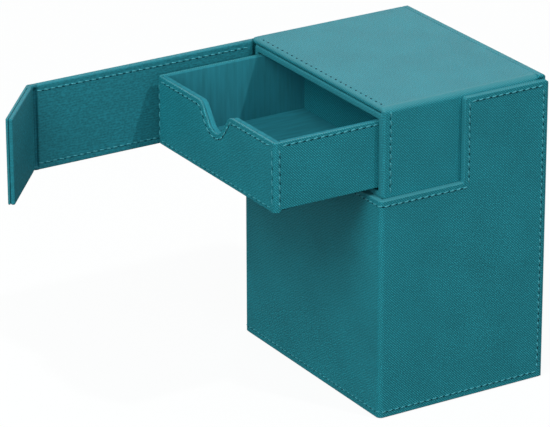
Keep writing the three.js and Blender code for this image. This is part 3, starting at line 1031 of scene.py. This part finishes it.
def make_drawer_inside():
    inner_x = DRAWER_X - DRAWER_WRAP_THICK - 0.05
    top = DRAWER_TOP_Z - LINING_DROP
    outline = fillet([
        (-inner_x, DRAWER_LOW_Z), (inner_x, DRAWER_LOW_Z), (inner_x, top),
        *[(x, z - LINING_DROP, r) for x, z, r in notch()], (-inner_x, top),
    ], radius=0.7)
    front = DRAWER_FRONT_Y + DRAWER_WRAP_THICK + CLEAR
    piece = slab("drawer_front_lining_cover", outline, DRAWER_INSIDE_Y - front, facing_front(front),
                 round_edge=0.95, back_round=0.5)
    dress(piece, FIBRE, "drawer", "microfibre", "drawer_front_lining")

    side_thick = DRAWER_X - DRAWER_WRAP_THICK - DRAWER_INSIDE_X - CLEAR
    far = DRAWER_BACK_Y - 0.1
    for label, place, near_u, far_u in (
        ("right", facing_left(DRAWER_INSIDE_X), -far, -DRAWER_INSIDE_Y),
        ("left", facing_right(-DRAWER_INSIDE_X), DRAWER_INSIDE_Y, far),
    ):
        outline = box_outline(near_u, SIDE_FOOT_Z, far_u, DRAWER_TOP_Z - 0.1, radius=0.4)
        piece = slab(f"drawer_{label}_lining", outline, side_thick, place, round_edge=0.3)
        dress(piece, FIBRE, "drawer", "microfibre")

    back_low = low("drawer_back")
    outline = box_outline(-DRAWER_INSIDE_X, back_low.z, DRAWER_INSIDE_X, DRAWER_TOP_Z, radius=0.7)
    piece = slab("drawer_back_cover", outline, DRAWER_BACK_Y - back_low.y, facing_back(DRAWER_BACK_Y),
                 round_edge=0.6)
    dress(piece, LEATHER, "drawer", "leatherette", "drawer_back")

    outline = box_outline(-DRAWER_INSIDE_X, DRAWER_INSIDE_Y, DRAWER_INSIDE_X, back_low.y, radius=0.4)
    thick = DRAWER_PAD_TOP_Z - DRAWER_PAD_LOW_Z
    piece = slab("drawer_pad_cover", outline, thick, facing_up(DRAWER_PAD_TOP_Z), round_edge=0.3)
    dress(piece, FIBRE, "drawer", "microfibre", "drawer_pad")


def make_drawer_seam():
    rim = DRAWER_TOP_Z - 1.9
    foot = DRAWER_LOW_Z + 1.7
    edge = DRAWER_X - DRAWER_RADIUS - 0.2
    around = [(x, z) for x, z, _ in notch(grow=2.1) if z <= rim + 0.2]
    rows = [
        row(DRAWER_PLACE, [(edge - 1.6, rim)] + around + [(-edge + 0.7, rim)], DRAWER_PITCH),
        row(DRAWER_PLACE, [(edge, rim - 1), (edge, foot + 1)], DRAWER_EDGE_PITCH, FINE_SHARE),
        row(DRAWER_PLACE, [(-edge - 0.9, rim - 1), (-edge - 0.9, foot + 1)], DRAWER_EDGE_PITCH, FINE_SHARE),
        row(DRAWER_PLACE, [(edge - 1, foot), (-edge + 0.1, foot)], DRAWER_PITCH, FINE_SHARE),
    ]
    side_u = bend_u(DRAWER_X, DRAWER_RADIUS, 2.3)
    side_rim = DRAWER_TOP_Z - 1.4
    for side in (-1, 1):
        top_path = [(side * (side_u + 1), side_rim), (side * (DRAWER_END_U - 2), side_rim)]
        front_path = [(side * side_u, side_rim - 1), (side * side_u, foot)]
        rows.append(row(DRAWER_PLACE, top_path, DRAWER_PITCH, pressed=SIDE_PRESS))
        rows.append(row(DRAWER_PLACE, front_path, DRAWER_PITCH - 0.15, SLIM_SHARE, SIDE_PRESS))
    seam("drawer_seam", rows, "drawer")


# Flap and tip

STRIP_FALLS = (0, 0.35, 0.8, 1.2, 1.7)


def groove(u):
    """How deep the groove of the tip's crease is at u."""
    return smooth_step((1.3 - abs(u + 2.3)) / 0.5)


def root_step(u):
    """How far the lining falls back at u, where it meets the flap's root."""
    return 1.6 * smooth_step((-u - 2.55) / 0.2)


def root_place(u, v, depth):
    """The outer face of the flap's root on the lid's left side: u is y."""
    return (low("flap_root").x - depth, u, v)


def crease_strip(name, axis, reach, angle, offset, thick, bodies, material, ends, carve=None, nodes=()):
    """A strip of leather across a crease. It bends by angle between -reach and reach, and runs over by ends.
    carve gives how deep its inner face lies below its full thickness at u; where it lies more than half a
    millimetre deeper, the strip takes a darker leather: painted shade in the groove."""
    place = hinge_place(axis, offset, lambda u: angle * smooth_step((u + reach) / (2 * reach)))
    columns = steps_between(-reach - ends[0], reach + ends[1], 40)
    bottom, top = FLAP_LOW_Z, FLAP_TOP_Z
    levels = [bottom + fall for fall in STRIP_FALLS] + steps_between(bottom + 3, top - 3, 8)
    levels += [top - fall for fall in reversed(STRIP_FALLS)]
    inner = []
    outer = []
    for z in levels:
        from_end = min(z - bottom, top - z)
        tuck = 0.35 if from_end < 0.3 else 0.1 if from_end < 0.7 else 0.0
        carved = smooth_step((from_end - 0.8) / 0.9)
        inner.append([place(u, z, thick - (carve(u) * carved if carve else 0) - tuck) for u in columns])
        outer.append([place(u, z, 0 if carve else tuck) for u in columns])
    bm = shell(columns, levels, (inner, outer), second=carve and (lambda u: carve(u) > 0.5))
    piece = finish_mesh(name, bm)
    piece.data.materials.append(material)
    # Deep-carved parts of the strip take the darker leather: painted shade
    if carve:
        piece.data.materials.append(CREASE_SHADE_LEATHER)
    if nodes:
        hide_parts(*nodes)
    start = place(-reach, (bottom + top) / 2, 0)
    far = place(reach, (bottom + top) / 2, 0)
    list(bodies)
    [c * MM for c in start]
    [c * MM for c in far]
    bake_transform(piece)


def make_flap():
    outer = -FLAP_OUTER_THICK / 2
    length = (FLAP_AXIS - TIP_AXIS).length

    def panel(name, place, start, end, thick, material, body, slot, node, soft=0.45):
        """A board of the flap or tip. Depth grows inward here, so the slab's own depth is turned round."""
        outline = box_outline(start, FLAP_LOW_Z, end, FLAP_TOP_Z, soft + 0.1)
        piece = slab(name, outline, thick, lambda u, v, depth: place(u, v, -depth), round_edge=0.4,
                     back_round=soft)
        dress(piece, material, body, slot, node)

    inner_thick = FLAP_INNER_HIGH - FLAP_INNER_LOW
    panel("flap_cover", flap_place(outer), CREASE_HALF, length - CREASE_HALF, FLAP_OUTER_THICK,
          LEATHER, "flap", "leatherette", "flap_outer")
    panel("flap_lining", flap_place(FLAP_INNER_LOW), CREASE_INNER, length - GROOVE_START, inner_thick,
          FLAP_LEATHER, "flap", "flap_lining", "flap_inner", soft=0.6)
    panel("tip_cover", tip_place(outer), CREASE_HALF, TIP_REACH, FLAP_OUTER_THICK,
          LEATHER, "tip", "leatherette", "tip_outer")
    panel("tip_lining", tip_place(FLAP_INNER_LOW), CREASE_INNER, TIP_REACH, inner_thick,
          FLAP_LEATHER, "tip", "flap_lining", "tip_inner", soft=0.6)

    root_low, root_high = low("flap_root"), high("flap_root")
    outline = box_outline(root_low.y + ROOT_CUT, FLAP_LOW_Z, root_high.y, FLAP_TOP_Z, radius=0.6)
    root = slab("flap_root_cover", outline, root_high.x - root_low.x, root_place, round_edge=0.5)
    dress(root, LEATHER, "lid", "leatherette", "flap_root")

    leather = (outer - CLEAR, FLAP_OUTER_THICK + CLEAR)
    crease_strip("flap_crease", FLAP_AXIS, CREASE_HALF, 0, *leather, ("lid", "flap"), LEATHER,
                 (ROOT_CUT + OVERLAP, OVERLAP), nodes=["flap_hinge_strip"])
    crease_strip("tip_crease", TIP_AXIS, CREASE_HALF, TIP_ANGLE, *leather, ("flap", "tip"), LEATHER,
                 (OVERLAP, OVERLAP), nodes=["tip_hinge_strip"])
    lining = (CREASE_LINING_LOW, FLAP_INNER_HIGH - CREASE_LINING_LOW + CLEAR)
    crease_strip("flap_crease_lining", FLAP_AXIS, CREASE_INNER, 0, *lining, ("lid", "flap"), FLAP_LEATHER,
                 (0, OVERLAP), carve=root_step)
    crease_strip("tip_crease_lining", TIP_AXIS, CREASE_INNER, TIP_ANGLE, *lining, ("flap", "tip"),
                 FLAP_LEATHER, (GROOVE_START - CREASE_INNER + 0.2, OVERLAP), carve=groove)

    inside = flap_place(FLAP_INNER_HIGH)
    outside = flap_place(outer)
    tip_outside = tip_place(outer)
    levels = (FLAP_LOW_Z + 2.95, FLAP_TOP_Z - 2.55)
    upright = (levels[0] + 1.5, levels[1] - 1.5)
    tip_end = TIP_REACH - 2.6
    root_end = root_high.y - 2.6
    flap_rows = []
    tip_rows = []
    root_rows = []
    for z, share in zip(levels, (FINE_SHARE, SLIM_SHARE)):
        flap_rows.append(row(inside, [(-0.5, z), (length - GROOVE_START + 0.5, z)], FLAP_PITCH, share))
        flap_rows.append(row(outside, [(CREASE_HALF, z), (length - CREASE_HALF, z)], FLAP_PITCH, outward=-1))
        tip_rows.append(row(tip_outside, [(CREASE_HALF, z), (tip_end, z)], FLAP_PITCH, outward=-1))
        root_rows.append(row(root_place, [(root_low.y + 0.5, z), (root_end, z)], FLAP_PITCH))
    tip_rows.append(row(tip_outside, [(tip_end, z) for z in upright], FLAP_PITCH, outward=-1))
    root_rows.append(row(root_place, [(root_end, z) for z in upright], FLAP_PITCH))
    seam("flap_seam", flap_rows, "flap", "flap_lining")
    seam("tip_seam", tip_rows, "tip", "leatherette")
    seam("flap_root_seam", root_rows, "lid")


def repaint_frame():
    for node in ("base_panel", "back_panel", "housing_back", "drawer_floor"):
        repaint(node, LEATHER)
    repaint("liner_floor", FIBRE)
    for node in ("lid_magnet_upper", "lid_magnet_lower", "tip_magnet_upper", "tip_magnet_lower"):
        repaint(node, NICKEL)


# Stage

CAMERA_AIM = (-0.0045, -0.0573, 0.0774)
CAMERA_DISTANCE = 1.6159
CAMERA_AZIMUTH = math.radians(58.63)
CAMERA_ELEVATION = math.radians(22.24)
CAMERA_ROLL = math.radians(-0.16)
CAMERA_LENS = 245.96
FLOOR_HALF = 6.0
FLOOR_DROP = 0.0004
LAMP_AIM = Vector((0, 0, 0.1))
WHITE = (1, 1, 1)
COOL = (0.75, 1, 1)
LAMPS = [
    ("key", (1.1, 0.53, 1.85), 0.1, 16.5, WHITE),
    ("side", (2.1, 0.13, 0.75), 0.14, 2, WHITE),
    ("side_soft", (1.9, -1.1, 0.55), 1.2, 5.5, WHITE),
    ("front_high", (0.75, -1.35, 1.8), 1.3, 33, COOL),
    ("front_low", (0.9, -1.7, 0.7), 1.2, 8, COOL),
    ("behind", (-1.5, 1.1, 0.9), 1.2, 5.5, WHITE),
    ("left", (-2.1, -0.3, 0.25), 1.0, 9, WHITE),
    ("rear", (-0.3, 2.1, 0.25), 1.0, 9, WHITE),
]


def make_camera():
    data = bpy.data.cameras.new("camera")
    camera = add_object("camera", data)
    back = Vector((
        math.sin(CAMERA_AZIMUTH) * math.cos(CAMERA_ELEVATION),
        -math.cos(CAMERA_AZIMUTH) * math.cos(CAMERA_ELEVATION),
        math.sin(CAMERA_ELEVATION),
    ))
    turn = back.to_track_quat("Z", "Y").to_matrix() @ Matrix.Rotation(CAMERA_ROLL, 3, "Z")
    camera.matrix_world = Matrix.Translation(Vector(CAMERA_AIM) + back * CAMERA_DISTANCE) @ turn.to_4x4()
    data.lens = CAMERA_LENS
    data.sensor_width = 36
    data.clip_start = 0.01
    data.clip_end = 50
    bpy.context.scene.camera = camera


def make_floor():
    bm = bmesh.new()
    corners = [(-1, -1), (1, -1), (1, 1), (-1, 1)]
    bm.faces.new([bm.verts.new((x * FLOOR_HALF, y * FLOOR_HALF, -FLOOR_DROP)) for x, y in corners])
    floor = finish_mesh("floor", bm, smooth=False)
    nodes = new_material("floor_white")
    rays = nodes.add("LightPath")
    seen = rays["Is Camera Ray"]
    share = nodes.maths("MAXIMUM", nodes.scaled(seen, 0.93), nodes.scaled(rays["Is Glossy Ray"], 0.04))
    pale = nodes.blend(seen, (0.12, 0.12, 0.12, 1), (0.9, 0.9, 0.9, 1))
    plain = nodes.add("BsdfDiffuse", {"Color": pale})[0]
    white = nodes.add("Emission", {"Color": (1, 1, 1, 1), "Strength": 1.0})[0]
    mixed = nodes.add("MixShader", {0: share, 1: plain, 2: white})[0]
    floor.data.materials.append(nodes.output(mixed))


def make_world():
    nodes = Nodes(bpy.data.worlds.new("studio"))
    rays = nodes.add("LightPath")
    seen = nodes.maths("MAXIMUM", rays["Is Camera Ray"], rays["Is Glossy Ray"])
    soft, white = [
        nodes.add("Background", {"Color": (1, 1, 1, 1), "Strength": strength})[0]
        for strength in (0.24, 1.0)
    ]
    mixed = nodes.add("MixShader", {0: seen, 1: soft, 2: white})[0]
    bpy.context.scene.world = nodes.output(mixed, "World")


def add_lamp(name, place, size, power, tint):
    data = bpy.data.lights.new(name, "AREA")
    data.shape = "DISK"
    data.size = size
    data.energy = power
    data.color = tint
    lamp = add_object(name, data)
    lamp.location = place
    lamp.rotation_mode = "QUATERNION"
    lamp.rotation_quaternion = (LAMP_AIM - Vector(place)).to_track_quat("-Z", "Y")


make_camera()
make_case_wrap()
make_case_liner()
make_spine()
make_lid_cover()
make_sleeve()
make_hinge_cover()
make_drawer_wrap()
make_drawer_inside()
make_drawer_seam()
make_flap()
repaint_frame()
make_floor()
make_world()
for lamp in LAMPS:
    add_lamp(*lamp)
bpy.context.scene.view_settings.view_transform = "Standard"
